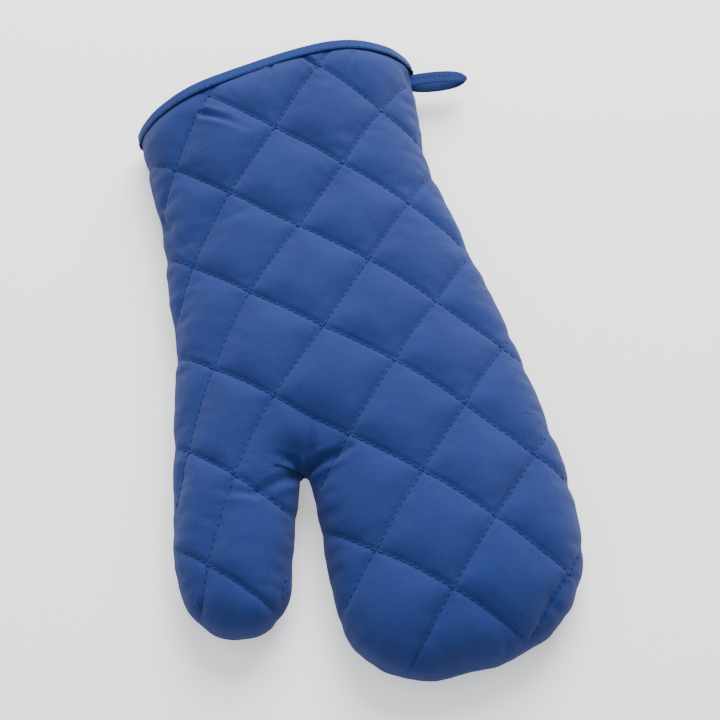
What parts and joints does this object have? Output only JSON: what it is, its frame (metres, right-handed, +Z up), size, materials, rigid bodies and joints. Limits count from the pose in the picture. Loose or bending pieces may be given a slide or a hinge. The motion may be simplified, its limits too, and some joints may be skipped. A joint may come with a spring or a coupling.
{
  "type": "oven mitt",
  "caption": "Quilted blue cotton oven mitt with a thumb, a bound cuff and a hanging loop, lying flat on its back panel.",
  "frame": {"origin": "middle of the bounding box's base, on the surface that the mitt lies on", "axes": "+Z up through the thickness, +Y from the fingertips to the cuff, +X from the thumb side to the hanging loop"},
  "size_m": [0.1905, 0.3068, 0.041],
  "materials": {
    "cover": "plain woven cotton, matt, quilted in diamonds",
    "wadding": "polyester wadding, soft matt",
    "lining": "plain woven cotton, matt",
    "binding": "folded cotton strip, matt",
    "quilting_thread": "spun polyester thread, slight sheen",
    "seam_thread": "spun polyester thread, slight sheen",
    "overlock_thread": "overlocked edge, textured matt",
    "loop_tape": "folded cotton tape, matt"
  },
  "bodies": {
    "palm": {"front_cover_palm": "cover", "front_wadding_palm": "wadding", "front_lining_palm": "lining", "back_cover_palm": "cover", "back_wadding_palm": "wadding", "back_lining_palm": "lining", "front_rising_rows_palm": "quilting_thread", "front_falling_rows_palm": "quilting_thread", "back_rising_rows_palm": "quilting_thread", "back_falling_rows_palm": "quilting_thread", "side_seam_palm": "seam_thread", "overlock_palm": "overlock_thread", "cuff_binding": "binding", "binding_stitch": "seam_thread"},
    "thumb": {"front_cover_thumb": "cover", "front_wadding_thumb": "wadding", "front_lining_thumb": "lining", "back_cover_thumb": "cover", "back_wadding_thumb": "wadding", "back_lining_thumb": "lining", "front_rising_rows_thumb": "quilting_thread", "front_falling_rows_thumb": "quilting_thread", "back_rising_rows_thumb": "quilting_thread", "back_falling_rows_thumb": "quilting_thread", "side_seam_thumb": "seam_thread", "overlock_thumb": "overlock_thread"},
    "fingers": {"front_cover_fingers": "cover", "front_wadding_fingers": "wadding", "front_lining_fingers": "lining", "back_cover_fingers": "cover", "back_wadding_fingers": "wadding", "back_lining_fingers": "lining", "front_rising_rows_fingers": "quilting_thread", "front_falling_rows_fingers": "quilting_thread", "back_rising_rows_fingers": "quilting_thread", "back_falling_rows_fingers": "quilting_thread", "side_seam_fingers": "seam_thread", "overlock_fingers": "overlock_thread"},
    "loop": {"hanging_loop": "loop_tape", "loop_stitch": "seam_thread"}
  },
  "joints": [
    {"name": "thumb_fold", "type": "hinge", "parent": "palm", "child": "thumb", "pos_m": [-0.06565, -0.06532, 0.0322], "axis": [-0.9696, 0.2449, 0], "range_deg": [0, 60], "stiffness_Nm_per_rad": 0.03},
    {"name": "finger_fold", "type": "hinge", "parent": "palm", "child": "fingers", "pos_m": [0.02471, -0.07843, 0.0348], "axis": [-1, 0, 0], "range_deg": [0, 60], "stiffness_Nm_per_rad": 0.08},
    {"name": "loop_swing", "type": "hinge", "parent": "palm", "child": "loop", "pos_m": [0.06932, 0.13811, 0.012], "axis": [-0.1736, -0.9848, 0], "range_deg": [-20, 100], "stiffness_Nm_per_rad": 0.002}
  ]
}
